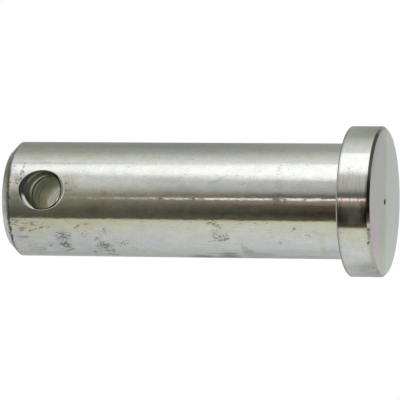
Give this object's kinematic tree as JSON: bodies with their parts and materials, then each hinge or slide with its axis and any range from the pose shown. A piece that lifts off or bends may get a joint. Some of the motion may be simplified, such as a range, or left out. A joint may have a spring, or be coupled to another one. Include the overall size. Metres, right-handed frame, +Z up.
{
  "type": "clevis pin",
  "caption": "Plain turned clevis pin with a flat round head, a chamfered tip and a countersunk cross hole for a retaining pin.",
  "frame": {"origin": "centre of the head's outer face, on which the pin stands", "axes": "+Z up the shank's axis from the head to the tip, +Y along the cross hole"},
  "size_m": [0.026, 0.026, 0.0663],
  "materials": {
    "zinc_plated_steel": "turned steel with bright zinc plating, faintly iridescent, with small stains and scratches"
  },
  "bodies": {
    "root": {"clevis_pin": "zinc_plated_steel"}
  },
  "joints": []
}
